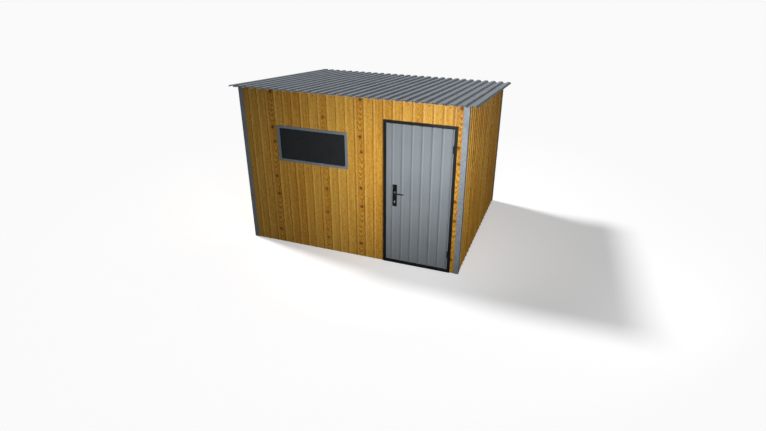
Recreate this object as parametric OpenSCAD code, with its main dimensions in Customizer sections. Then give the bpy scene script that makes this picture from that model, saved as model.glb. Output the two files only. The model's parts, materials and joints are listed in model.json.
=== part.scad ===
// Garden shed of ribbed steel sheet on a frame of square tubes.
// One door with a lever handle and one fixed window in the front wall, and a roof that falls to the back.
// Millimetres, +Z up, front towards -Y. The origin is under the middle of the bounding box, on the ground.

/* [Body] */
// Width over the corner trims
body_w = 3000; // [2400:10:4500]
// Depth over the corner trims
body_d = 2490; // [1800:10:4000]
// Height of the roof sheet's underside over the front face
front_h = 2156; // [2080:1:2700]
// Fall of the roof towards the back, in each metre of depth
roof_fall = 93; // [40:1:140]

/* [Roof] */
// Overhang past each side
roof_over_side = 90; // [30:5:200]
// Overhang past the front face
roof_over_front = 78; // [70:1:200]
// Overhang past the back face
roof_over_back = 131; // [40:1:250]
// Distance from one roof rib to the next
roof_pitch = 114.8; // [90:0.1:200]
// Width of a roof rib at its foot
roof_rib_foot = 75; // [40:1:85]
// Width of a roof rib at its crest
roof_rib_crest = 43; // [15:1:60]
// Height of a roof rib
roof_rib_h = 20; // [8:1:40]

/* [Wall sheet] */
// Distance from one wall rib to the next
wall_pitch = 122.2; // [80:0.1:200]
// First rib's middle, from the corner
wall_rib_start = 15.5; // [14:0.5:60]
// Width of a wall rib at its foot
wall_rib_foot = 26; // [16:1:40]
// Width of a wall rib at its crest
wall_rib_crest = 14; // [6:1:30]
// Height of a wall rib
wall_rib_h = 8; // [4:0.5:14]
// Thickness of the wall and roof sheets
sheet_t = 1.5; // [0.8:0.1:3]
// Height of the sheets' lower edge above the ground
sheet_lift = 5; // [2:1:30]

/* [Frame] */
// Side of the square tubes
tube = 30; // [20:1:50]
// Height of the underside of the middle rails
mid_rail_z = 1050; // [600:10:1300]
// Number of purlins between the eaves
purlin_count = 2; // [1:1:5]

/* [Corner trims] */
// Width of a corner trim's flange
trim_w = 65; // [40:1:120]
// Thickness of a corner trim
trim_t = 2; // [1:0.1:4]

/* [Window] */
// Width over the window frame
window_w = 984; // [500:1:1100]
// Height over the window frame
window_h = 475; // [250:1:600]
// Height of the window frame's underside
window_z = 1228; // [900:1:1350]
// Shift of the window from the middle between the left corner and the door
window_shift = 24; // [-80:1:80]
// Width of a window frame bar
window_bar = 32; // [20:1:60]
// How far the window frame stands out from the trims' face
window_proud = 3; // [0:0.5:12]
// Depth of the glass behind the window frame's face
glass_inset = 16; // [6:1:25]
// Thickness of the glass
glass_t = 4; // [3:1:10]

/* [Door] */
// Width over the door frame
door_w = 905; // [750:1:1100]
// Height over the door frame
door_h = 1920; // [1500:1:1980]
// Distance from the door frame to the right corner
door_to_corner = 115; // [80:1:400]
// Width of a door frame bar
door_bar = 35; // [25:1:60]
// Height of the door sill
sill_h = 40; // [20:1:60]
// Gap round the door leaf
leaf_gap = 5; // [5:0.5:10]
// Side of the square tubes in the door leaf
leaf_tube = 25; // [20:1:28]
// First leaf rib's middle, from the leaf's left edge
leaf_rib_start = 73; // [50:0.5:90]
// Height of the underside of the leaf's middle rail
leaf_mid_z = 1200; // [1120:10:1300]

/* [Hinges] */
// Diameter of a hinge barrel
barrel_d = 16; // [12:1:24]
// Diameter of a hinge pin
pin_d = 8; // [5:0.5:11]
// Radial clearance round a hinge pin
pin_clear = 0.1; // [0.05:0.01:0.3]
// Height of one hinge half
barrel_h = 45; // [30:1:80]
// Height of the lower hinge's foot
hinge_low_z = 220; // [120:10:500]
// Height of the upper hinge's foot
hinge_high_z = 1600; // [1000:10:1750]

/* [Handle] */
// Width of a handle plate
plate_w = 55; // [35:1:60]
// Height of a handle plate
plate_h = 290; // [270:1:320]
// Height of the handle plates' underside
plate_z = 820; // [700:1:830]
// Thickness of a handle plate
plate_t = 9; // [5:0.5:14]
// Height of the lever's turning axis
lever_z = 1010; // [960:1:1060]
// Reach of a lever from its turning axis
lever_len = 132; // [90:1:160]
// Diameter of a lever
lever_d = 16; // [12:1:22]
// Distance from a handle plate to the middle of the lever's arm
lever_out = 46; // [30:1:52]
// Side of the square spindle
spindle_side = 8; // [6:0.5:10]
// Height of the lock cylinder's middle
cylinder_z = 885; // [860:1:900]
// Diameter of the lock cylinder's round part
cylinder_d = 17; // [14:0.5:20]

/* [Hidden] */
$fn = 48;

steel_colour = [0.45, 0.47, 0.49];
wood_colour = [0.72, 0.50, 0.20];
roof_colour = [0.50, 0.53, 0.56];
trim_colour = [0.62, 0.65, 0.67];
frame_colour = [0.08, 0.08, 0.09];
door_colour = [0.52, 0.56, 0.60];
window_colour = [0.44, 0.49, 0.53];

// Slack between a sheet and the frame that it meets
sheet_gap = 1;
// Gap between the walls' upper edge and the roof sheet
eaves_gap = 2;
// From the trims' outer face to the inside of the wall sheets, where the tubes begin
skin = trim_t + wall_rib_h + sheet_t;
// From the trims' outer face to the inside of the tubes
lining = skin + tube;

// Roof slope, and the box round the whole shed
roof_a = atan(roof_fall / 1000);
roof_w = body_w + 2 * roof_over_side;
roof_h = roof_rib_h + sheet_t;
roof_len = (roof_over_front + body_d + roof_over_back) / cos(roof_a);
plan_d = roof_over_front + body_d + roof_over_back + roof_h * sin(roof_a);
front_y = roof_over_front - plan_d / 2;
left_x = -body_w / 2;
right_x = body_w / 2;
back_y = front_y + body_d;

// Ends of the sloping rails, measured along the roof from the front face
slope_start = (skin + tube * sin(roof_a)) / cos(roof_a);
slope_end = (body_d - skin) / cos(roof_a);

// Door frame, door leaf and window, along X and Z
door_x = right_x - door_to_corner - door_w;
door_end = door_x + door_w;
leaf_x = door_x + door_bar + leaf_gap;
leaf_end = door_end - door_bar - leaf_gap;
leaf_w = leaf_end - leaf_x;
leaf_z = sill_h + leaf_gap;
leaf_top = door_h - door_bar - leaf_gap;
window_x = (left_x + door_x) / 2 + window_shift - window_w / 2;
window_end = window_x + window_w;
window_top = window_z + window_h;

// Layers of the door leaf, from the front of its sheet's flat pans inwards
leaf_pan_y = front_y + trim_t + wall_rib_h;
leaf_tube_y = leaf_pan_y + sheet_t;
leaf_back_y = leaf_tube_y + leaf_tube;

// Handle: the plates stand beside the leaf's first rib
plate_x = leaf_x + leaf_rib_start + wall_rib_foot / 2 + sheet_gap;
lever_x = plate_x + plate_w / 2;
spindle_hole_d = spindle_side * sqrt(2) + 1.4;
lever_slack = 1;
socket_depth = 20;
outer_plate_y = leaf_pan_y - plate_t;

// Hinges: the axis stands in front of the gap between leaf and jamb
hinge_slack = 1;
hinge_x = leaf_end + leaf_gap / 2;
hinge_y = front_y - barrel_d / 2 - hinge_slack;
strap_t = 4;
strap_w = 25;
tab_t = 3;
hinge_zs = [hinge_low_z, hinge_high_z];
pin_stand = barrel_h - 3;

// ---- Shared shapes ----

module box(low, high) translate(low) cube(high - low);

// Puts its children in the roof's own frame: Y down the slope from the front face, Z square to the roof
module on_roof() translate([0, front_y, front_h]) rotate([-roof_a, 0, 0]) children();

// Cuts its children off parallel to the roof, drop below the roof sheet
module under_roof(drop) {
    intersection() {
        children();
        on_roof() translate([-body_w, -body_d, -2 * front_h - drop]) cube([2 * body_w, 3 * body_d, 2 * front_h]);
    }
}

// Outer line of a ribbed sheet, from 0 to width, with whole ribs only
function rib_line(width, start, pitch, foot, crest, rise) = concat(
    [[0, 0]],
    [for (x = [start : pitch : width - foot / 2])
        each [[x - foot / 2, 0], [x - crest / 2, rise], [x + crest / 2, rise], [x + foot / 2, 0]]],
    [[width, 0]]
);

// Section of a ribbed sheet: ribs towards +Y, its flat pans from -sheet_t to 0
module rib_section(width, start, pitch, foot, crest, rise) {
    line = rib_line(width, start, pitch, foot, crest, rise);
    last = len(line) - 1;
    polygon(concat(line, [for (i = [last : -1 : 0]) [line[i].x, line[i].y - sheet_t]]));
}

// Wall sheet of a given width and height, ribs towards -Y
module wall_sheet(width, start, height) {
    linear_extrude(height) mirror([0, 1]) rib_section(
        width, start, wall_pitch, wall_rib_foot, wall_rib_crest, wall_rib_h);
}

// The whole front wall's sheet, before the window and the door are cut out
module front_sheet() {
    under_roof(eaves_gap) translate([left_x, front_y + trim_t + wall_rib_h, sheet_lift])
        wall_sheet(body_w, wall_rib_start, front_h);
}

// The part of the front sheet between two X values and two Z values
module front_part(x0, x1, z0, z1) {
    color(wood_colour) intersection() {
        front_sheet();
        box([x0, front_y, z0], [x1, front_y + 2 * skin, z1]);
    }
}

// Side wall sheet, side -1 on the left and 1 on the right, its ribs counted from the front corner
module side_sheet(side) {
    color(wood_colour) under_roof(eaves_gap)
        translate([side * (right_x - trim_t - wall_rib_h), front_y + trim_t, sheet_lift])
            mirror([side < 0 ? 1 : 0, 0, 0]) rotate([0, 0, 90])
                wall_sheet(body_d - 2 * trim_t, wall_rib_start, front_h);
}

// Corner trim: an angle whose outer corner is at x, y and whose flanges run inwards
module corner_trim(x, y, inward_x, inward_y) {
    color(trim_colour) under_roof(eaves_gap) translate([x, y, sheet_lift])
        mirror([inward_x < 0 ? 1 : 0, 0, 0]) mirror([0, inward_y < 0 ? 1 : 0, 0])
            linear_extrude(front_h) difference() {
                square([trim_w, trim_w]);
                translate([trim_t, trim_t]) square([trim_w, trim_w]);
            }
}

// Upright tube with its low corner at x, y, from z up to drop below the roof sheet
module upright(x, y, z, drop) {
    color(steel_colour) under_roof(drop) translate([x, y, z]) cube([tube, tube, front_h]);
}

// ---- Frame ----

module base_rails() {
    color(steel_colour) {
        box([left_x + lining, front_y + skin, 0], [door_x - tube, front_y + lining, tube]);
        box([door_end + tube, front_y + skin, 0], [right_x - lining, front_y + lining, tube]);
        box([left_x + lining, back_y - lining, 0], [right_x - lining, back_y - skin, tube]);
        box([left_x + skin, front_y + lining, 0], [left_x + lining, back_y - lining, tube]);
        box([right_x - lining, front_y + lining, 0], [right_x - skin, back_y - lining, tube]);
    }
}

module corner_posts() {
    for (x = [left_x + skin, right_x - lining], y = [front_y + skin, back_y - lining]) upright(x, y, 0, tube);
}

module door_posts() {
    for (x = [door_x - tube, door_end]) upright(x, front_y + skin, 0, tube);
}

module back_post() upright(-tube / 2, back_y - lining, tube, tube);

module front_rails() {
    for (z = [window_z - tube, window_top])
        color(steel_colour) box([left_x + lining, front_y + skin, z], [door_x - tube, front_y + lining, z + tube]);
}

module window_studs() {
    for (x = [window_x - tube, window_end])
        color(steel_colour) box([x, front_y + skin, window_z], [x + tube, front_y + lining, window_top]);
}

module mid_rails() {
    z0 = mid_rail_z;
    z1 = mid_rail_z + tube;
    color(steel_colour) {
        box([left_x + skin, front_y + lining, z0], [left_x + lining, back_y - lining, z1]);
        box([right_x - lining, front_y + lining, z0], [right_x - skin, back_y - lining, z1]);
        box([left_x + lining, back_y - lining, z0], [-tube / 2, back_y - skin, z1]);
        box([tube / 2, back_y - lining, z0], [right_x - lining, back_y - skin, z1]);
    }
}

module side_top_rails() {
    for (x = [left_x + skin, right_x - lining])
        color(steel_colour) on_roof() box([x, slope_start, -tube], [x + tube, slope_end, 0]);
}

// Tube across the roof between the side rails, its front edge s down the slope
module cross_rail(s) {
    color(steel_colour) on_roof() box([left_x + lining, s, -tube], [right_x - lining, s + tube, 0]);
}

module eaves_rails() {
    cross_rail(slope_start);
    cross_rail(slope_end - tube);
}

module purlins() {
    bay = (slope_end - tube - slope_start) / (purlin_count + 1);
    for (i = [1 : purlin_count]) cross_rail(slope_start + i * bay);
}

// ---- Walls and roof ----

module front_sheet_left() front_part(left_x + skin, window_x - sheet_gap, 0, front_h);

module front_sheet_under_window() {
    front_part(window_x - sheet_gap, window_end + sheet_gap, 0, window_z - sheet_gap);
}

module front_sheet_over_window() {
    front_part(window_x - sheet_gap, window_end + sheet_gap, window_top + sheet_gap, front_h);
}

module front_sheet_middle() front_part(window_end + sheet_gap, door_x - sheet_gap, 0, front_h);

module front_sheet_over_door() front_part(door_x - sheet_gap, door_end + sheet_gap, door_h + sheet_gap, front_h);

module front_sheet_right() front_part(door_end + sheet_gap, right_x - skin, 0, front_h);

module left_sheet() side_sheet(-1);

module right_sheet() side_sheet(1);

module back_sheet() {
    color(wood_colour) intersection() {
        under_roof(eaves_gap) translate([right_x, back_y - trim_t - wall_rib_h, sheet_lift]) rotate([0, 0, 180])
            wall_sheet(body_w, wall_rib_start, front_h);
        box([left_x + skin, back_y - 2 * skin, 0], [right_x - skin, back_y, front_h]);
    }
}

module trim_front_left() corner_trim(left_x, front_y, 1, 1);

module trim_front_right() corner_trim(right_x, front_y, -1, 1);

module trim_back_left() corner_trim(left_x, back_y, 1, -1);

module trim_back_right() corner_trim(right_x, back_y, -1, -1);

// Ribs run down the slope and stand evenly about the middle
module roof_sheet() {
    ribs = floor((roof_w - roof_rib_foot) / roof_pitch) + 1;
    start = (roof_w - (ribs - 1) * roof_pitch) / 2;
    color(roof_colour) on_roof() translate([-roof_w / 2, roof_len - roof_over_front / cos(roof_a), sheet_t])
        rotate([90, 0, 0]) linear_extrude(roof_len) rib_section(
            roof_w, start, roof_pitch, roof_rib_foot, roof_rib_crest, roof_rib_h);
}

// ---- Window ----

// Bar of the window frame with mitred ends, lying along X with its outer edge down
module window_rail(width) {
    color(window_colour) rotate([90, 0, 0]) mirror([0, 0, 1]) linear_extrude(lining + window_proud)
        polygon([[0, 0], [width, 0], [width - window_bar, window_bar], [window_bar, window_bar]]);
}

module window_sill() translate([window_x, front_y - window_proud, window_z]) window_rail(window_w);

module window_head() {
    translate([window_x, front_y - window_proud, window_top]) mirror([0, 0, 1]) window_rail(window_w);
}

module window_jambs() {
    translate([window_x, front_y - window_proud, window_top]) rotate([0, 90, 0]) window_rail(window_h);
    translate([window_end, front_y - window_proud, window_z]) rotate([0, -90, 0]) window_rail(window_h);
}

module window_glass() {
    y = front_y - window_proud + glass_inset;
    color([0.15, 0.16, 0.17]) box(
        [window_x + window_bar, y, window_z + window_bar],
        [window_end - window_bar, y + glass_t, window_top - window_bar]);
}

// ---- Door frame ----

module door_jamb_left() color(frame_colour) box([door_x, front_y, 0], [door_x + door_bar, front_y + lining, door_h]);

module door_jamb_right() {
    color(frame_colour) box([door_end - door_bar, front_y, 0], [door_end, front_y + lining, door_h]);
}

module door_head() {
    color(frame_colour) box(
        [door_x + door_bar, front_y, door_h - door_bar],
        [door_end - door_bar, front_y + lining, door_h]);
}

module door_sill() {
    color(frame_colour) box(
        [door_x + door_bar, front_y, 0],
        [door_end - door_bar, front_y + lining, sill_h]);
}

// Lower halves of the hinges, with their pins, on the right jamb
module hinge_pins() {
    for (z = hinge_zs) color(frame_colour) translate([hinge_x, hinge_y, z]) {
        cylinder(d = barrel_d, h = barrel_h);
        cylinder(d = pin_d, h = barrel_h + hinge_slack + pin_stand);
        translate([0, front_y - hinge_y - strap_t, 0]) cube([strap_w, strap_t, barrel_h]);
    }
}

// ---- Door leaf ----

// Upper halves of the hinges: each barrel has a tab that runs back along the leaf's edge
module hinge_barrels() {
    for (z = hinge_zs) color(frame_colour) translate([hinge_x, hinge_y, z + barrel_h + hinge_slack]) {
        difference() {
            union() {
                cylinder(d = barrel_d, h = barrel_h);
                translate([leaf_end - hinge_x, 0, 0]) cube([tab_t, leaf_back_y - hinge_y, barrel_h]);
            }
            translate([0, 0, -1]) cylinder(d = pin_d + 2 * pin_clear, h = barrel_h + 2);
        }
    }
}

module leaf_stiles() {
    for (x = [leaf_x, leaf_end - leaf_tube])
        color(frame_colour) box([x, leaf_tube_y, leaf_z], [x + leaf_tube, leaf_back_y, leaf_top]);
}

module leaf_rails() {
    for (z = [leaf_z, leaf_mid_z, leaf_top - leaf_tube]) color(frame_colour) box(
        [leaf_x + leaf_tube, leaf_tube_y, z],
        [leaf_end - leaf_tube, leaf_back_y, z + leaf_tube]);
}

// Hole for the spindle, along Y through the whole leaf
module spindle_hole() {
    translate([lever_x, outer_plate_y - 1, lever_z]) rotate([-90, 0, 0])
        cylinder(d = spindle_hole_d, h = leaf_back_y - outer_plate_y + plate_t + 2);
}

// Hole for the lock cylinder, along Y through the whole leaf
module cylinder_hole() {
    translate([lever_x, outer_plate_y - 1, cylinder_z]) rotate([-90, 0, 0])
        cylinder(d = cylinder_d, h = leaf_back_y - outer_plate_y + plate_t + 2);
}

module leaf_sheet() {
    color(door_colour) difference() {
        translate([leaf_x, leaf_pan_y, leaf_z]) wall_sheet(leaf_w, leaf_rib_start, leaf_top - leaf_z);
        spindle_hole();
        cylinder_hole();
    }
}

// Handle plate whose outer face is at y
module handle_plate(y) {
    color(frame_colour) difference() {
        box([plate_x, y, plate_z], [plate_x + plate_w, y + plate_t, plate_z + plate_h]);
        spindle_hole();
        cylinder_hole();
    }
}

module plate_outer() handle_plate(outer_plate_y);

module plate_inner() handle_plate(leaf_back_y);

module lock_case() {
    case_h = 220;
    color(steel_colour) difference() {
        box([leaf_x + leaf_tube, leaf_tube_y, plate_z + (plate_h - case_h) / 2],
            [lever_x + plate_w / 2, leaf_back_y, plate_z + (plate_h + case_h) / 2]);
        spindle_hole();
        cylinder_hole();
    }
}

// Round barrel of the lock, a little proud of both plates
module lock_cylinder() {
    proud = 2;
    color(trim_colour) translate([lever_x, outer_plate_y - proud, cylinder_z]) rotate([-90, 0, 0])
        cylinder(d = cylinder_d, h = leaf_back_y + plate_t - outer_plate_y + 2 * proud);
}

// ---- Handle ----

// Lever on one side of the leaf, from the plate's face towards -Y: a neck, a rounded elbow and an arm
module lever() {
    color(frame_colour) difference() {
        union() {
            translate([0, -lever_out, 0]) rotate([-90, 0, 0]) cylinder(d = lever_d, h = lever_out - lever_slack);
            translate([0, -lever_out, 0]) sphere(d = lever_d);
            translate([0, -lever_out, 0]) rotate([0, 90, 0]) cylinder(d = lever_d, h = lever_len - lever_d / 2);
            translate([lever_len - lever_d / 2, -lever_out, 0]) sphere(d = lever_d);
        }
        translate([-spindle_side / 2, -lever_slack - socket_depth, -spindle_side / 2])
            cube([spindle_side, socket_depth + 1, spindle_side]);
    }
}

module lever_outer() translate([lever_x, outer_plate_y, lever_z]) lever();

module lever_inner() translate([lever_x, leaf_back_y + plate_t, lever_z]) mirror([0, 1, 0]) lever();

module spindle() {
    y0 = outer_plate_y - lever_slack - socket_depth;
    y1 = leaf_back_y + plate_t + lever_slack + socket_depth;
    color(steel_colour) box(
        [lever_x - spindle_side / 2, y0, lever_z - spindle_side / 2],
        [lever_x + spindle_side / 2, y1, lever_z + spindle_side / 2]);
}

base_rails();
corner_posts();
door_posts();
back_post();
front_rails();
window_studs();
mid_rails();
side_top_rails();
eaves_rails();
purlins();
front_sheet_left();
front_sheet_under_window();
front_sheet_over_window();
front_sheet_middle();
front_sheet_over_door();
front_sheet_right();
left_sheet();
right_sheet();
back_sheet();
trim_front_left();
trim_front_right();
trim_back_left();
trim_back_right();
roof_sheet();
window_head();
window_sill();
window_jambs();
window_glass();
door_jamb_left();
door_jamb_right();
door_head();
door_sill();
hinge_pins();
leaf_stiles();
leaf_rails();
leaf_sheet();
hinge_barrels();
plate_outer();
plate_inner();
lock_case();
lock_cylinder();
lever_outer();
lever_inner();
spindle();
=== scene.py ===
import json
import math

import bmesh
import bpy
from mathutils import Matrix, Vector

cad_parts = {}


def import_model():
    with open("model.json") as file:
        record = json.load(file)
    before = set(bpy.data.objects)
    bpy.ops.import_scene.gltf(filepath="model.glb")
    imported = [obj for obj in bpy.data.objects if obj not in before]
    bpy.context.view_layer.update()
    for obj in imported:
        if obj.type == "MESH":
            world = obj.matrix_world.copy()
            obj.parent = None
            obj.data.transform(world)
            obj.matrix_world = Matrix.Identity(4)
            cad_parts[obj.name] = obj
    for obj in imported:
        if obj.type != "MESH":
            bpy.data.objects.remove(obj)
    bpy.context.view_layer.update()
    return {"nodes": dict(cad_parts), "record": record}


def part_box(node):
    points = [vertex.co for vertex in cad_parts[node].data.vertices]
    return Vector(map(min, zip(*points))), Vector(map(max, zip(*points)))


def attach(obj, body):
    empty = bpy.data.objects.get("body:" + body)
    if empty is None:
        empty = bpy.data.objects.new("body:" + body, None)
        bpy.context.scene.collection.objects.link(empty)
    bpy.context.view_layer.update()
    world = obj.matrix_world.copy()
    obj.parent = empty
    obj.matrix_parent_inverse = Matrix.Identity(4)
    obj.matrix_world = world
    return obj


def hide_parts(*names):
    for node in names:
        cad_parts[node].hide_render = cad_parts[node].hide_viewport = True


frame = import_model()
record = frame["record"]

# ---- Sizes of the sheets and the hardware, in metres ----
WALL_PITCH = 0.1222
RIB_START = 0.0155
ROOF_PITCH = 0.1148
SHEET = 0.0015
RIB_FOOT = 0.026
ROOF_RIB_RISE = 0.020
LEAF_RIB_START = 0.073
TUBE = 0.030

# ---- The printed boards: ten before the print repeats; sizes in metres, grain in waves to the metre ----
BOARDS = 10.0
KNOTTY_BOARD = 3.0
HALF_KNOTTY_BOARD = 9.0
KNOTS_PER_METRE = 2.9
KNOT_HALF_WIDTH = 0.034
KNOT_HALF_HEIGHT = 0.030
KNOT_WANDER = 0.030
RING_SPACING = 0.075
RING_BOW_WIDTH = 0.046
FIBRES_ACROSS, FIBRES_UP = 230.0, 9.0
STREAKS_ACROSS, STREAKS_UP = 40.0, 1.5
DRIFT_ACROSS, DRIFT_UP = 11.0, 3.0
RAYS_ACROSS, RAYS_UP = 55.0, 34.0

# ---- Turned hardware: (radius, height) pairs from the axis outwards, in metres ----
WASHER = ((0, 0.0002), (0.0075, 0.0002), (0.0078, 0.0012), (0.0060, 0.0024), (0.0048, 0.0028), (0, 0.0028))
HEXAGON = ((0.0046, 0.0027), (0.0046, 0.0062), (0.0038, 0.0068), (0, 0.0070))
COLLAR = ((0, 0), (0.0125, 0), (0.0130, 0.0010), (0.0130, 0.0042), (0.0120, 0.0052), (0.0088, 0.0054),
          (0.0084, 0.0080), (0, 0.0080))
NECK_RING = ((0.0074, 0.0050), (0.0108, 0.0050), (0.0108, 0.0062), (0.0096, 0.0078), (0.0074, 0.0082))
LOCK_PLUG = ((0.0050, -0.0005), (0.0050, 0.0008), (0.0046, 0.0012), (0, 0.0012))

# ---- The levers, the profile cylinder and the glazing bead, in metres ----
NECK_RADIUS = 0.0072
ARM_HALF_DEPTH = 0.0056
LEVER_BEND = 0.014
LEVER_SIDES = 24
CYLINDER_RADIUS = 0.0068
TONGUE_RADIUS = 0.0040
TONGUE_DROP = 0.0150
KEY_SLOT = ((0.0011, 0.0036, -0.0004), (0.0011, 0.0036, 0.00006), (0.0007, 0.0032, 0.00012))
BEAD = ((-0.001, -0.001), (-0.001, 0.0035), (0.0030, 0.0045), (0.0065, 0.0012), (0.0065, -0.001))

SLOT_OF = {part["node"]: part["material_slot"] for part in record["subparts"]}
BODY_OF = {node: body for body, nodes in record["behaviour"]["bodies"].items() for node in nodes}


def low(node):
    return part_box(node)[0]


def high(node):
    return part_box(node)[1]


WALL_LEFT = low("trim_front_left").x
WALL_RIGHT = high("trim_front_right").x
WALL_FRONT = low("trim_front_left").y
WALL_BACK = high("trim_back_left").y
FRONT_PAN = high("front_sheet_left").y - SHEET
BACK_PAN = low("back_sheet").y + SHEET
LEFT_PAN = high("left_sheet").x - SHEET
RIGHT_PAN = low("right_sheet").x + SHEET
ROOF_LOW, ROOF_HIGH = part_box("roof_sheet")
ROOF_SLOPE = (ROOF_HIGH.z - ROOF_LOW.z - ROOF_RIB_RISE - SHEET) / (ROOF_HIGH.y - ROOF_LOW.y)


def roof_pan(y):
    """Height of the flat strips between the roof's ribs."""
    return ROOF_HIGH.z - ROOF_RIB_RISE - ROOF_SLOPE * (y - ROOF_LOW.y)


WHITE = (0.955, 0.955, 0.955, 1.0)


# ---- Node graphs ----

def linear(r, g, b):
    """An sRGB colour from 0 to 255 as linear RGBA."""
    def channel(value):
        value /= 255
        return value / 12.92 if value <= 0.04045 else ((value + 0.055) / 1.055) ** 2.4
    return (channel(r), channel(g), channel(b), 1.0)


class Graph:
    """A material's node tree, built by small calls that return sockets."""

    def __init__(self, name):
        self.material = bpy.data.materials.new(name)
        self.material.use_nodes = True
        self.tree = self.material.node_tree
        self.tree.nodes.clear()
        self.output = self.tree.nodes.new("ShaderNodeOutputMaterial")

    def put(self, socket, value):
        if isinstance(value, bpy.types.NodeSocket):
            self.tree.links.new(value, socket)
        else:
            socket.default_value = value

    def add(self, kind, inputs=(), **settings):
        node = self.tree.nodes.new("ShaderNode" + kind)
        for key, value in settings.items():
            setattr(node, key, value)
        for key, value in dict(inputs).items():
            self.put(node.inputs[key], value)
        return node

    def math(self, operation, a, b=0.0, clamp=False):
        return self.add("Math", {0: a, 1: b}, operation=operation, use_clamp=clamp).outputs[0]

    def plus(self, a, b, clamp=False):
        return self.math("ADD", a, b, clamp)

    def minus(self, a, b):
        return self.math("SUBTRACT", a, b)

    def times(self, a, b):
        return self.math("MULTIPLY", a, b)

    def over(self, a, b):
        return self.math("DIVIDE", a, b)

    def size(self, a):
        return self.math("ABSOLUTE", a)

    def square(self, a):
        return self.math("POWER", a, 2.0)

    def vector(self, x, y, z):
        return self.add("CombineXYZ", {0: x, 1: y, 2: z}).outputs[0]

    def place(self):
        """The three object coordinates, in metres."""
        coordinates = self.add("TexCoord").outputs["Object"]
        split = self.add("SeparateXYZ", {0: coordinates})
        return split.outputs

    def noise(self, vector, scale, detail=3.0, roughness=0.5, distortion=0.0):
        node = self.add("TexNoise", {
            "Vector": vector, "Scale": scale, "Detail": detail,
            "Roughness": roughness, "Distortion": distortion})
        return node.outputs[0]

    def grain(self, across, up, seed, detail, roughness):
        """Noise over one board; across and up are stretched to the size of the grain."""
        return self.noise(self.vector(across, up, seed), 1.0, detail, roughness)

    def span(self, value, from_low, from_high, to_low=0.0, to_high=1.0, smooth=False):
        node = self.add("MapRange", {
            "Value": value, "From Min": from_low, "From Max": from_high,
            "To Min": to_low, "To Max": to_high})
        node.interpolation_type = "SMOOTHSTEP" if smooth else "LINEAR"
        return node.outputs[0]

    def ramp(self, value, stops):
        node = self.add("ValToRGB", {0: value})
        elements = node.color_ramp.elements
        while len(elements) < len(stops):
            elements.new(0.5)
        for element, (position, colour) in zip(elements, stops):
            element.position = position
            element.color = colour
        return node.outputs[0]

    def mix(self, factor, a, b, blend="MIX"):
        node = self.add("Mix", data_type="RGBA", blend_type=blend)
        self.put(node.inputs[0], factor)
        self.put(node.inputs[6], a)
        self.put(node.inputs[7], b)
        return node.outputs[2]

    def bump(self, height, distance, strength=1.0):
        node = self.add("Bump", {"Height": height, "Distance": distance, "Strength": strength})
        return node.outputs[0]

    def surface(self, **inputs):
        """Ends the graph with one Principled shader; an underscore in a name stands for a space."""
        shader = self.add("BsdfPrincipled")
        for key, value in inputs.items():
            self.put(shader.inputs[key.replace("_", " ")], value)
        self.tree.links.new(shader.outputs[0], self.output.inputs[0])
        return self.material


# ---- Materials ----

def painted_rib_shade_and_highlight(g, along):
    """Painted shade at each rib's left foot, and a painted highlight on its right flank; along runs from rib
    to rib.
    """
    left = g.span(along, 0.0052, 0.0070, 1.0, 0.0, smooth=True)
    right = g.size(g.minus(along, RIB_FOOT - 0.003))
    return left, g.span(right, 0.002, 0.0045, 1.0, 0.0, smooth=True)


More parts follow.
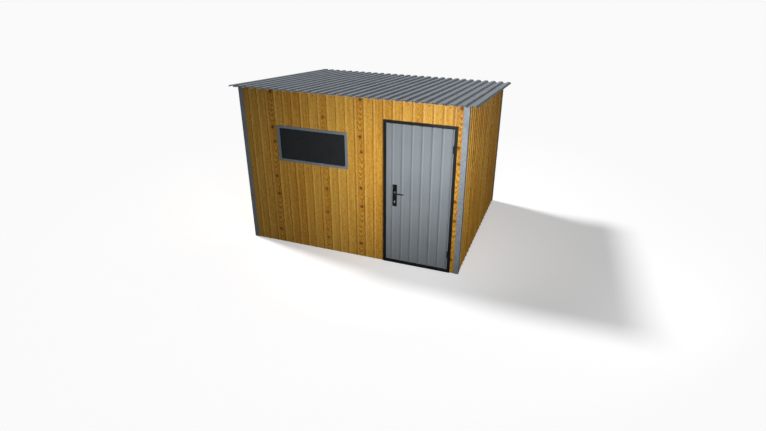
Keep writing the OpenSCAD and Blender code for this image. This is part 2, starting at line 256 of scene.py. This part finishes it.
def wood_sheet(name, axis, start):
    """Steel sheet printed with golden oak boards, one board from rib to rib, with painted shade and a painted
    highlight along each rib.
    axis is the one that runs along the wall, and start the place of its first rib."""
    g = Graph(name)
    x, y, z = g.place()
    u = g.over(g.minus(x if axis == "X" else y, start), WALL_PITCH)
    index = g.math("FLOOR", u)
    along = g.times(g.minus(u, index), WALL_PITCH)
    metres = g.minus(along, WALL_PITCH / 2 + RIB_FOOT / 2)
    board = g.math("FLOORED_MODULO", index, BOARDS)
    chance = g.add("TexWhiteNoise", {"W": g.plus(board, 0.37)}, noise_dimensions="1D")
    chances = g.add("SeparateColor", {0: chance.outputs["Color"]})
    seed = g.times(board, 3.71)

    # Which boards are knotty: the third, and the ninth a little less
    third = g.math("LESS_THAN", g.size(g.minus(board, KNOTTY_BOARD)), 0.5)
    ninth = g.math("LESS_THAN", g.size(g.minus(board, HALF_KNOTTY_BOARD)), 0.5)
    knotty = g.plus(third, g.times(ninth, 0.75), clamp=True)

    # Knots: about three to the metre, near the board's middle
    upward = g.plus(g.times(z, KNOTS_PER_METRE), g.plus(seed, 0.4))
    knot_cells = g.add("TexVoronoi", {"W": upward, "Scale": 1.0, "Randomness": 0.85},
                       voronoi_dimensions="1D", feature="F1")
    up = g.over(knot_cells.outputs["Distance"], KNOTS_PER_METRE)
    knot_chance = g.add("SeparateColor", {0: knot_cells.outputs["Color"]}).outputs[0]
    side = g.minus(metres, g.times(g.minus(knot_chance, 0.5), KNOT_WANDER))
    wide = g.square(g.over(g.size(side), KNOT_HALF_WIDTH))
    tall = g.square(g.over(up, KNOT_HALF_HEIGHT))
    reach = g.math("SQRT", g.plus(wide, tall))
    knot = g.times(g.span(reach, 0.30, 1.10, 1.0, 0.0, smooth=True), knotty)
    halo = g.times(g.span(reach, 0.4, 2.6, 1.0, 0.0, smooth=True), knotty)

    # Grain: fine fibres, broad streaks, mottled rays, and U-shaped year rings that flow round the knots
    fibre = g.grain(g.times(metres, FIBRES_ACROSS), g.times(z, FIBRES_UP), seed, detail=5.0, roughness=0.65)
    streak = g.grain(g.times(metres, STREAKS_ACROSS), g.times(z, STREAKS_UP), seed, detail=2.0, roughness=0.5)
    drift = g.grain(g.times(metres, DRIFT_ACROSS), g.times(z, DRIFT_UP), seed, detail=3.0, roughness=0.55)
    rays = g.grain(g.times(metres, RAYS_ACROSS), g.times(z, RAYS_UP), seed, detail=3.0, roughness=0.6)
    bow = g.square(g.over(g.size(side), RING_BOW_WIDTH))
    flame = g.minus(g.over(z, RING_SPACING), g.times(bow, 1.5))
    flame = g.plus(flame, g.plus(g.times(drift, 1.6), g.times(halo, 2.6)))
    flame_rings = g.math("SINE", g.times(flame, 2 * math.pi))
    straight_rings = g.math("SINE", g.plus(g.times(metres, 350.0), g.times(drift, 16.0)))
    plain = g.minus(1.0, knotty)
    rings = g.plus(g.times(flame_rings, knotty), g.times(straight_rings, plain))

    tone = g.plus(0.5, g.times(g.minus(fibre, 0.5), 0.42))
    tone = g.plus(tone, g.times(g.minus(streak, 0.5), 0.30))
    tone = g.plus(tone, g.times(g.minus(rays, 0.5), 0.46))
    tone = g.plus(tone, g.times(rings, g.plus(0.028, g.times(knotty, 0.100))))
    tone = g.plus(tone, g.times(g.minus(chances.outputs[0], 0.5), 0.12))
    colour = g.ramp(tone, [
        (0.15, linear(142, 82, 12)), (0.40, linear(204, 138, 36)),
        (0.60, linear(236, 182, 76)), (0.85, linear(250, 218, 130))])
    colour = g.mix(g.times(knot, 0.80), colour, linear(96, 54, 8))
    # Painted shade darkens each rib's left foot, and a painted highlight lightens its right flank
    dark, pale = painted_rib_shade_and_highlight(g, along)
    colour = g.mix(g.times(dark, 0.72), colour, linear(62, 38, 8))
    colour = g.mix(g.times(pale, 0.62), colour, linear(252, 222, 156))
    relief = g.plus(fibre, g.times(rings, 0.25))
    return g.surface(
        Base_Color=colour, Roughness=g.span(fibre, 0.3, 0.7, 0.50, 0.40),
        Normal=g.bump(relief, 0.00025, 0.35), IOR=1.45)


def painted(name, colour, shade, roughness=0.42, metallic=0.0, peel=0.00006, ribs_from=None):
    """Stove-enamelled steel: slow changes of shade, faint rain streaks and a fine orange-peel skin.
    ribs_from is the place of the first wall rib, where the sheet has them; there painted shade and a painted
    highlight are laid along each rib."""
    g = Graph(name)
    x, y, z = g.place()
    around = g.plus(x, y)
    cloud = g.noise(g.vector(x, y, z), 2.3, 4.0, 0.55)
    streak = g.noise(g.vector(g.times(around, 26.0), g.times(z, 1.1), 0.0), 1.0, 3.0, 0.6)
    grit = g.noise(g.vector(x, y, z), 420.0, 2.0, 0.6)
    dirt = g.times(g.span(cloud, 0.42, 0.72, 0.0, 1.0, smooth=True), 0.30)
    dirt = g.plus(dirt, g.times(g.span(streak, 0.5, 0.78, 0.0, 1.0, smooth=True), 0.28))
    dirt = g.plus(dirt, g.times(g.minus(grit, 0.5), 0.30), clamp=True)
    skin = g.noise(g.vector(x, y, z), 1500.0, 2.0, 0.5)
    dulled = g.plus(cloud, g.times(grit, 0.4))
    tint = g.mix(dirt, colour, shade)
    if ribs_from is not None:
        # Painted shade at each rib's left foot, and a painted highlight on its right flank
        along = g.math("FLOORED_MODULO", g.minus(x, ribs_from), WALL_PITCH)
        dark, pale = painted_rib_shade_and_highlight(g, along)
        tint = g.mix(g.times(dark, 0.62), tint, linear(52, 58, 64))
        tint = g.mix(g.times(pale, 0.30), tint, linear(206, 212, 218))
    return g.surface(
        Base_Color=tint,
        Roughness=g.span(dulled, 0.5, 1.0, roughness - 0.05, roughness + 0.1),
        Metallic=metallic, Normal=g.bump(skin, peel, 0.5), IOR=1.5)


def galvanised(name, dark, pale, metallic=0.75):
    """Hot-dip zinc: flat crystals some millimetres wide, each with its own shade and gloss."""
    g = Graph(name)
    x, y, z = g.place()
    point = g.vector(x, y, z)
    shift = g.vector(g.times(g.noise(point, 60.0), 0.006), g.times(g.noise(point, 75.0), 0.006), 0.0)
    warped = g.add("VectorMath", {0: point, 1: shift}, operation="ADD").outputs[0]
    crystal = g.add("TexVoronoi", {"Vector": warped, "Scale": 110.0, "Randomness": 1.0})
    shade = g.add("SeparateColor", {0: crystal.outputs["Color"]}).outputs[0]
    cloud = g.noise(point, 3.0, 4.0, 0.6)
    tone = g.plus(g.times(shade, 0.55), g.times(cloud, 0.6))
    return g.surface(
        Base_Color=g.ramp(tone, [(0.2, dark), (0.85, pale)]),
        Roughness=g.span(shade, 0.0, 1.0, 0.36, 0.54), Metallic=metallic,
        Normal=g.bump(shade, 0.00004, 0.4))


def black_paint(name, roughness):
    """Black powder coat, a little greyer where hands and rain have dulled it."""
    g = Graph(name)
    x, y, z = g.place()
    point = g.vector(x, y, z)
    cloud = g.noise(point, 6.0, 4.0, 0.6)
    grain = g.noise(point, 900.0, 2.0, 0.6)
    return g.surface(
        Base_Color=g.ramp(cloud, [(0.3, linear(15, 15, 16)), (0.75, linear(27, 27, 28))]),
        Roughness=g.span(cloud, 0.3, 0.7, roughness - 0.06, roughness + 0.08),
        Normal=g.bump(grain, 0.00008, 0.6), IOR=1.5)


def brushed_steel(name):
    """Satin nickel with fine level brush lines."""
    g = Graph(name)
    x, y, z = g.place()
    lines = g.noise(g.vector(g.times(x, 120.0), y, g.times(z, 2600.0)), 1.0, 2.0, 0.6)
    return g.surface(
        Base_Color=g.ramp(lines, [(0.25, linear(214, 216, 219)), (0.75, linear(240, 241, 242))]),
        Roughness=g.span(lines, 0.3, 0.7, 0.24, 0.40), Metallic=0.35, Normal=g.bump(lines, 0.00002, 0.5))


def rubber(name):
    """Black rubber with a fine matt grain."""
    g = Graph(name)
    x, y, z = g.place()
    grain = g.noise(g.vector(x, y, z), 700.0, 3.0, 0.6)
    return g.surface(
        Base_Color=g.ramp(grain, [(0.3, linear(20, 20, 21)), (0.7, linear(34, 34, 35))]),
        Roughness=0.75, Normal=g.bump(grain, 0.0001, 0.5))


def tinted_glass(name):
    """Dark tinted pane with a thin uneven film of dust."""
    g = Graph(name)
    x, y, z = g.place()
    film = g.noise(g.vector(x, y, z), 7.0, 4.0, 0.6)
    return g.surface(
        Base_Color=g.ramp(film, [(0.3, linear(104, 108, 110)), (0.8, linear(116, 120, 122))]),
        Roughness=g.span(film, 0.3, 0.8, 0.02, 0.07), Transmission_Weight=0.8, IOR=1.5)


MATERIALS = {
    "frame_tube": galvanised("zinc_tube", linear(120, 126, 130), linear(178, 183, 187)),
    "corner_trim": galvanised("trim_zinc", linear(136, 145, 152), linear(176, 184, 192), metallic=0.30),
    "roof_sheet": painted("roof_grey", linear(150, 157, 165), linear(126, 133, 141),
                          roughness=0.46, metallic=0.15),
    "window_frame": painted("window_grey", linear(138, 150, 160), linear(112, 122, 132), roughness=0.36),
    "window_glass": tinted_glass("window_pane"),
    "door_frame": black_paint("door_black", roughness=0.46),
    # The door sheet gets painted shade and a painted highlight along its ribs
    "door_sheet": painted("door_grey", linear(150, 157, 162), linear(130, 137, 143),
                          roughness=0.40, metallic=0.10, ribs_from=low("leaf_sheet").x + LEAF_RIB_START),
    "handle": black_paint("handle_black", roughness=0.26),
    "lock_steel": brushed_steel("lock_steel"),
}
WOOD_X = wood_sheet("oak_front", "X", WALL_LEFT + RIB_START)
WOOD_BACK = wood_sheet("oak_back", "X", WALL_RIGHT - RIB_START - RIB_FOOT)
WOOD_Y = wood_sheet("oak_sides", "Y", WALL_FRONT + 0.002 + RIB_START)
BACK_COAT = painted("back_coat", linear(196, 198, 196), linear(172, 175, 175), roughness=0.5)
SCREW_OAK = painted("screw_oak", linear(172, 122, 34), linear(140, 94, 22), roughness=0.38)
SCREW_GREY = painted("screw_grey", linear(146, 153, 160), linear(120, 127, 134), roughness=0.38)
RUBBER = rubber("black_rubber")


def material_of(node):
    if SLOT_OF[node] != "wood_look_sheet":
        return MATERIALS[SLOT_OF[node]]
    if node in ("left_sheet", "right_sheet"):
        return WOOD_Y
    return WOOD_BACK if node == "back_sheet" else WOOD_X


# ---- Mesh helpers ----

def new_piece(name, bm, material, body, smooth_angle=38.0):
    """Makes an object of a bmesh with the given material, on its body; edges sharper than smooth_angle stay
    sharp.
    """
    bmesh.ops.recalc_face_normals(bm, faces=bm.faces)
    for face in bm.faces:
        face.smooth = True
    limit = math.radians(smooth_angle)
    for edge in bm.edges:
        edge.smooth = edge.is_manifold and edge.calc_face_angle(0.0) < limit
    mesh = bpy.data.meshes.new(name)
    bm.to_mesh(mesh)
    bm.free()
    piece = bpy.data.objects.new(name, mesh)
    bpy.context.scene.collection.objects.link(piece)
    piece.data.materials.append(material)
    normals = piece.modifiers.new("flat_faces", "WEIGHTED_NORMAL")
    normals.keep_sharp = True
    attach(piece, body)
    return piece


def refine(node, radius, segments=2, sharp_angle=30.0, outward=None):
    """A copy of a CAD node with its edges rounded, which stands for that node.
    A sheet (radius 0) keeps its folded edges as they are.
    outward is the way a sheet's good side faces; its other side has the back coat."""
    bm = bmesh.new()
    bm.from_mesh(frame["nodes"][node].data)
    bmesh.ops.remove_doubles(bm, verts=bm.verts, dist=2e-5)
    if radius > 0:
        bmesh.ops.dissolve_limit(bm, angle_limit=math.radians(1.0), verts=bm.verts, edges=bm.edges)
        limit = math.radians(sharp_angle)
        sharp = [edge for edge in bm.edges if edge.is_manifold and edge.calc_face_angle() > limit]
        bmesh.ops.bevel(bm, geom=sharp, offset=radius, segments=segments, profile=0.5,
                        affect="EDGES", clamp_overlap=True)
    if outward is not None:
        bm.normal_update()
        for face in bm.faces:
            face.material_index = 1 if face.normal.dot(Vector(outward)) < -0.3 else 0
    piece = new_piece(node + "_shape", bm, material_of(node), BODY_OF[node])
    if outward is not None:
        piece.data.materials.append(BACK_COAT)
    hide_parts(node)
    return piece


def turned(points, axis_place, direction, sides=24):
    """Solid of revolution: points are (radius, height) pairs along direction from axis_place."""
    bm = bmesh.new()
    turn = Vector((0, 0, 1)).rotation_difference(Vector(direction)).to_matrix().to_4x4()
    move = Matrix.Translation(axis_place) @ turn
    turns = [2 * math.pi * i / sides for i in range(sides)]
    rings = []
    for radius, height in points:
        if radius == 0:
            rings.append([bm.verts.new(move @ Vector((0, 0, height)))])
            continue
        circle = [Vector((radius * math.cos(turn), radius * math.sin(turn), height)) for turn in turns]
        rings.append([bm.verts.new(move @ point) for point in circle])
    for below, above in zip(rings, rings[1:]):
        for i in range(sides):
            j = (i + 1) % sides
            if len(below) == 1:
                bm.faces.new((below[0], above[i], above[j]))
            elif len(above) == 1:
                bm.faces.new((below[i], below[j], above[0]))
            else:
                bm.faces.new((below[i], below[j], above[j], above[i]))
    return bm


def join(target, source):
    """Adds one bmesh to another and frees it."""
    mesh = bpy.data.meshes.new("joining")
    source.to_mesh(mesh)
    source.free()
    target.from_mesh(mesh)
    bpy.data.meshes.remove(mesh)


# ---- CAD pieces with rounded edges ----

ROUNDING = {
    "frame_tube": 0.003, "wood_look_sheet": 0.0, "corner_trim": 0.0008, "roof_sheet": 0.0,
    "window_frame": 0.002, "window_glass": 0.0006, "door_frame": 0.0025, "door_sheet": 0.0,
    "handle": 0.0018, "lock_steel": 0.0008,
}
FACING = {
    "left_sheet": (-1, 0, 0), "right_sheet": (1, 0, 0), "back_sheet": (0, 1, 0), "roof_sheet": (0, 0, 1),
    "leaf_sheet": (0, -1, 0),
}
SMALL = {"hinge_pins": 0.0008, "hinge_barrels": 0.0008, "spindle": 0.0004}
REBUILT = {"lever_outer", "lever_inner", "lock_cylinder"}


def refine_nodes():
    for node, slot in SLOT_OF.items():
        if node in REBUILT:
            continue
        outward = FACING.get(node, (0, -1, 0) if node.startswith("front_sheet") else None)
        refine(node, SMALL.get(node, ROUNDING[slot]), outward=outward)


# ---- Screws, rivets, beads, levers and the cylinder ----

def hex_screw(place, direction):
    """Self-drilling screw: a domed washer with a flange and a hexagon head."""
    screw = turned(WASHER, place, direction, sides=16)
    join(screw, turned(HEXAGON, place, direction, sides=6))
    return screw


def dome(place, direction, radius=0.0045, rise=0.0018):
    """Blind rivet or low screw head."""
    profile = ((radius, -0.0005), (radius, rise * 0.35), (radius * 0.72, rise * 0.85), (0, rise))
    return turned(profile, place, direction, sides=14)


def scatter(name, maker, places, direction, material, body):
    """The same small thing at each place, all in one mesh."""
    whole = bmesh.new()
    for place in places:
        join(whole, maker(place, direction))
    return new_piece(name, whole, material, body)


def wall_screws():
    door_left = low("door_jamb_left").x - 0.02
    door_right = high("door_jamb_right").x + 0.02
    door_top = high("door_head").z
    foot = 0.018
    middle = (low("mid_rails").z + high("mid_rails").z) / 2
    pan_centre = RIB_START + RIB_FOOT + (WALL_PITCH - RIB_FOOT) / 2
    front, back, left, right = [], [], [], []
    top_front = high("front_sheet_left").z - 0.030
    top_back = high("back_sheet").z - 0.030
    for step in range(0, 24, 2):
        x = WALL_LEFT + pan_centre + step * WALL_PITCH
        for z in (foot, middle, top_front):
            if door_left < x < door_right and z < door_top:
                continue
            front.append(Vector((x, FRONT_PAN, z)))
        for z in (foot, middle, top_back):
            back.append(Vector((-x, BACK_PAN, z)))
    for step in range(0, 19, 2):
        y = WALL_FRONT + 0.002 + pan_centre + step * WALL_PITCH
        top = top_front - ROOF_SLOPE * (y - WALL_FRONT)
        for z in (foot, middle, top):
            left.append(Vector((LEFT_PAN, y, z)))
            right.append(Vector((RIGHT_PAN, y, z)))
    scatter("screws_front", hex_screw, front, (0, -1, 0), SCREW_OAK, "root")
    scatter("screws_back", hex_screw, back, (0, 1, 0), SCREW_OAK, "root")
    scatter("screws_left", hex_screw, left, (-1, 0, 0), SCREW_OAK, "root")
    scatter("screws_right", hex_screw, right, (1, 0, 0), SCREW_OAK, "root")


def roof_screws():
    rows = [WALL_FRONT + TUBE, WALL_BACK - TUBE]
    for third in (1, 2):
        rows.append(WALL_FRONT + (WALL_BACK - WALL_FRONT) * third / 3)
    places = []
    for y in rows:
        for step in range(-12, 13, 2):
            places.append(Vector((step * ROOF_PITCH, y, roof_pan(y))))
    scatter("screws_roof", hex_screw, places, (0, 0, 1), SCREW_GREY, "root")


def trim_rivets():
    flange = (high("trim_front_left").x - WALL_LEFT) / 2
    heights = [0.12 + 0.46 * step for step in range(5)]
    for side, x, outward in (("left", WALL_LEFT, -1), ("right", WALL_RIGHT, 1)):
        inner = x - outward * flange
        front = [Vector((inner, WALL_FRONT, z)) for z in heights]
        back = [Vector((inner, WALL_BACK, z)) for z in heights]
        edge = [Vector((x, y, z)) for z in heights for y in (WALL_FRONT + flange, WALL_BACK - flange)]
        scatter("rivets_front_" + side, dome, front, (0, -1, 0), SCREW_GREY, "root")
        scatter("rivets_back_" + side, dome, back, (0, 1, 0), SCREW_GREY, "root")
        scatter("rivets_side_" + side, dome, edge, (outward, 0, 0), SCREW_GREY, "root")


def glazing_bead(name, y, outward):
    """Rubber bead round the pane, mitred at the corners; outward is -1 for the street side."""
    bar = high("window_sill").z - low("window_sill").z
    x0, x1 = low("window_jambs").x + bar, high("window_jambs").x - bar
    z0, z1 = high("window_sill").z, low("window_head").z
    bm = bmesh.new()
    loops = []
    for inset, rise in BEAD:
        left, right, foot, top = x0 + inset, x1 - inset, z0 + inset, z1 - inset
        corners = ((left, foot), (right, foot), (right, top), (left, top))
        loops.append([bm.verts.new((x, y + outward * rise, z)) for x, z in corners])
    for a, b in zip(loops, loops[1:] + loops[:1]):
        for i in range(4):
            j = (i + 1) % 4
            bm.faces.new((a[i], a[j], b[j], b[i]))
    return new_piece(name, bm, RUBBER, "root")


def lever(node, plate_face, outward):
    """Round collar, neck, bend and flattened arm, swept in one piece; outward is -1 on the outside."""
    box_low, box_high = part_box(node)
    thick = (box_high.z - box_low.z) / 2
    axis_x = box_low.x + thick
    z = (box_high.z + box_low.z) / 2
    end_x = box_high.x
    tip_y = (box_low.y if outward < 0 else box_high.y) - outward * thick
    bend = LEVER_BEND
    start = tip_y - outward * bend
    root = plate_face + outward * 0.001
    path = [(Vector((axis_x, y, z)), NECK_RADIUS, NECK_RADIUS) for y in (root, start)]
    steps = 8
    for i in range(1, steps + 1):
        turn = math.pi / 2 * i / steps
        x = axis_x + bend * (1 - math.cos(turn))
        y = start + outward * bend * math.sin(turn)
        blend = i / steps
        path.append((Vector((x, y, z)), NECK_RADIUS + 0.0004 * blend, NECK_RADIUS - 0.0014 * blend))
    for share in (0.25, 0.5, 0.75, 0.93):
        x = axis_x + bend + (end_x - axis_x - bend) * share
        y = tip_y + outward * 0.0015 * math.sin(math.pi * share)
        path.append((Vector((x, y, z)), thick - 0.0004, ARM_HALF_DEPTH))
    for share, size in ((0.965, 0.92), (0.985, 0.76), (0.996, 0.5), (1.0, 0.2)):
        x = axis_x + bend + (end_x - axis_x - bend) * share
        path.append((Vector((x, tip_y, z)), (thick - 0.0004) * size, ARM_HALF_DEPTH * size))
    bm = bmesh.new()
    turns = [2 * math.pi * k / LEVER_SIDES for k in range(LEVER_SIDES)]
    rings = []
    for i, (centre, tall, deep) in enumerate(path):
        before = path[max(i - 1, 0)][0]
        after = path[min(i + 1, len(path) - 1)][0]
        tangent = (after - before).normalized()
        across = tangent.cross(Vector((0, 0, 1))).normalized()
        upright = Vector((0, 0, tall))
        rings.append([bm.verts.new(centre + upright * math.cos(turn) + across * deep * math.sin(turn))
                      for turn in turns])
    for a, b in zip(rings, rings[1:]):
        for i in range(LEVER_SIDES):
            j = (i + 1) % LEVER_SIDES
            bm.faces.new((a[i], a[j], b[j], b[i]))
    bm.faces.new(rings[0])
    bm.faces.new(rings[-1])
    foot = Vector((axis_x, plate_face, z))
    join(bm, turned(COLLAR, foot, (0, outward, 0), sides=28))
    piece = new_piece(node + "_shape", bm, MATERIALS["handle"], BODY_OF[node])
    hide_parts(node)
    ring = turned(NECK_RING, foot, (0, outward, 0), sides=28)
    new_piece(node + "_ring", ring, MATERIALS["lock_steel"], BODY_OF[node])


def lock_cylinder():
    """Profile cylinder: a round housing over a narrow tongue, with the plug and its key slot proud of it."""
    box_low, box_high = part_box("lock_cylinder")
    x = (box_low.x + box_high.x) / 2
    z = (box_low.z + box_high.z) / 2
    radius, tongue, drop = CYLINDER_RADIUS, TONGUE_RADIUS, TONGUE_DROP
    outline = []
    start = math.asin(tongue / radius)
    steps = 20
    for i in range(steps + 1):
        turn = -math.pi / 2 + start + (2 * math.pi - 2 * start) * i / steps
        outline.append((radius * math.cos(turn), radius * math.sin(turn)))
    for i in range(9):
        turn = math.pi + math.pi * i / 8
        outline.append((tongue * math.cos(turn), -drop + tongue * math.sin(turn)))
    bm = bmesh.new()
    front_y = low("plate_outer").y - 0.0012
    back_y = high("plate_inner").y + 0.0012
    loops = []
    for shrink, y in ((0.0, back_y - 0.0006), (0.0, front_y + 0.0006), (0.0005, front_y)):
        loops.append([bm.verts.new((x + px * (1 - shrink / radius), y, z + pz * (1 - shrink / radius)))
                      for px, pz in outline])
    for a, b in zip(loops, loops[1:]):
        for i in range(len(outline)):
            j = (i + 1) % len(outline)
            bm.faces.new((a[i], a[j], b[j], b[i]))
    bm.faces.new(loops[0])
    bm.faces.new(loops[-1])
    for y, outward in ((front_y, -1), (back_y - 0.0006, 1)):
        join(bm, turned(LOCK_PLUG, Vector((x, y, z)), (0, outward, 0), sides=24))
    steel = MATERIALS["lock_steel"]
    piece = new_piece("lock_cylinder_shape", bm, steel, BODY_OF["lock_cylinder"])
    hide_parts("lock_cylinder")
    slots = bmesh.new()
    for y, outward in ((front_y - 0.0012, -1), (back_y + 0.0006, 1)):
        loops = []
        for half_x, half_z, rise in KEY_SLOT:
            loops.append([slots.verts.new((x + sx * half_x, y + outward * rise, z + sz * half_z))
                          for sx, sz in ((-1, -1), (1, -1), (1, 1), (-1, 1))])
        for a, b in zip(loops, loops[1:]):
            for i in range(4):
                j = (i + 1) % 4
                slots.faces.new((a[i], a[j], b[j], b[i]))
        slots.faces.new(loops[-1])
    new_piece("key_slots", slots, RUBBER, BODY_OF["lock_cylinder"])


def plate_screws():
    for node, outward in (("plate_outer", -1), ("plate_inner", 1)):
        box_low, box_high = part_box(node)
        x = (box_low.x + box_high.x) / 2
        y = box_low.y if outward < 0 else box_high.y
        places = [Vector((x, y, box_low.z + 0.014)), Vector((x, y, box_high.z - 0.014))]
        scatter("screws_" + node, dome, places, (0, outward, 0), MATERIALS["handle"], BODY_OF[node])


# ---- Camera, light and floor ----

def camera():
    """In front on the right, a little over head height above the roof, looking down on the shed."""
    data = bpy.data.cameras.new("view")
    data.sensor_width = 36.0
    data.lens = 24.575
    eye = bpy.data.objects.new("view", data)
    bpy.context.scene.collection.objects.link(eye)
    eye.location = (WALL_LEFT + 4.110, WALL_FRONT - 5.638, 3.5745)
    eye.rotation_euler = (math.radians(90 - 25.78), 0.0, math.radians(20.69))
    bpy.context.scene.camera = eye


def lamp(name, place, target, size, power, spread):
    """Soft box, unseen by the camera; size is its width and height, and spread its beam in degrees."""
    data = bpy.data.lights.new(name, "AREA")
    data.shape = "RECTANGLE"
    data.size, data.size_y = size
    data.energy = power
    data.spread = math.radians(spread)
    lamp_object = bpy.data.objects.new(name, data)
    bpy.context.scene.collection.objects.link(lamp_object)
    lamp_object.location = place
    lamp_object.rotation_euler = (Vector(target) - Vector(place)).to_track_quat("-Z", "Y").to_euler()
    lamp_object.visible_camera = False


def sun(name, direction, strength, spread):
    """Distant light; direction is the way it travels, and spread its breadth in degrees."""
    data = bpy.data.lights.new(name, "SUN")
    data.energy = strength
    data.angle = math.radians(spread)
    sun_object = bpy.data.objects.new(name, data)
    bpy.context.scene.collection.objects.link(sun_object)
    sun_object.rotation_euler = Vector(direction).to_track_quat("-Z", "Y").to_euler()


def world(strength, mirrored):
    """Even soft light, a little stronger in reflections, with a white backdrop for the camera."""
    world_data = bpy.data.worlds.new("studio")
    bpy.context.scene.world = world_data
    world_data.use_nodes = True
    tree = world_data.node_tree
    tree.nodes.clear()
    output = tree.nodes.new("ShaderNodeOutputWorld")
    mixer = tree.nodes.new("ShaderNodeMixShader")
    soft = tree.nodes.new("ShaderNodeBackground")
    soft.inputs[0].default_value = (0.94, 0.97, 1.0, 1.0)
    white = tree.nodes.new("ShaderNodeBackground")
    white.inputs[0].default_value = WHITE
    path = tree.nodes.new("ShaderNodeLightPath")
    level = tree.nodes.new("ShaderNodeMapRange")
    level.inputs[3].default_value = strength
    level.inputs[4].default_value = mirrored
    tree.links.new(path.outputs["Is Glossy Ray"], level.inputs[0])
    tree.links.new(level.outputs[0], soft.inputs[1])
    tree.links.new(path.outputs["Is Camera Ray"], mixer.inputs[0])
    tree.links.new(soft.outputs[0], mixer.inputs[1])
    tree.links.new(white.outputs[0], mixer.inputs[2])
    tree.links.new(mixer.outputs[0], output.inputs[0])


def floor():
    """Pale floor that keeps the shadow near the shed and fades into the white backdrop further out.
    Light bounces off it as off grey paving."""
    g = Graph("pale_floor")
    x, y, z = g.place()
    distance = g.math("SQRT", g.plus(g.times(x, x), g.times(y, y)))
    far = g.span(distance, 3.2, 6.5, 0.0, 1.0, smooth=True)
    path = g.add("LightPath")
    seen = path.outputs["Is Camera Ray"]
    grain = g.noise(g.vector(x, y, z), 30.0, 3.0, 0.6)
    pale = g.ramp(grain, [(0.0, linear(228, 228, 229)), (1.0, linear(234, 234, 235))])
    matt = g.add("BsdfDiffuse", {"Color": g.mix(seen, linear(84, 84, 86), pale)})
    lift = g.add("Emission", {"Color": WHITE, "Strength": g.times(seen, 0.40)})
    near = g.add("AddShader", {0: matt.outputs[0], 1: lift.outputs[0]})
    white = g.add("Emission", {"Color": WHITE, "Strength": 1.0})
    mixer = g.add("MixShader", {0: g.times(seen, far)})
    g.tree.links.new(near.outputs[0], mixer.inputs[1])
    g.tree.links.new(white.outputs[0], mixer.inputs[2])
    g.tree.links.new(mixer.outputs[0], g.output.inputs[0])
    bm = bmesh.new()
    bmesh.ops.create_grid(bm, x_segments=1, y_segments=1, size=60.0)
    mesh = bpy.data.meshes.new("floor")
    bm.to_mesh(mesh)
    bm.free()
    ground = bpy.data.objects.new("floor", mesh)
    bpy.context.scene.collection.objects.link(ground)
    ground.location.z = -0.0005
    mesh.materials.append(g.material)


camera()
refine_nodes()
wall_screws()
roof_screws()
trim_rivets()
glazing_bead("glazing_bead_outside", low("window_glass").y, -1)
glazing_bead("glazing_bead_inside", high("window_glass").y, 1)
lever("lever_outer", low("plate_outer").y, -1)
lever("lever_inner", high("plate_inner").y, 1)
lock_cylinder()
plate_screws()
world(strength=0.11, mirrored=0.42)
sun("key", direction=(0.70, -0.16, -0.72), strength=2.75, spread=9.0)
lamp("front_soft", place=(1.85, -3.9, 2.12), target=(0.85, -1.27, 1.35), size=(1.3, 0.28),
     power=17.6, spread=78.0)
lamp("side_soft", place=(4.9, -1.9, 1.5), target=(1.5, 0.2, 1.5), size=(1.0, 0.5),
     power=8.0, spread=150.0)
floor()
bpy.context.scene.view_settings.view_transform = "Standard"
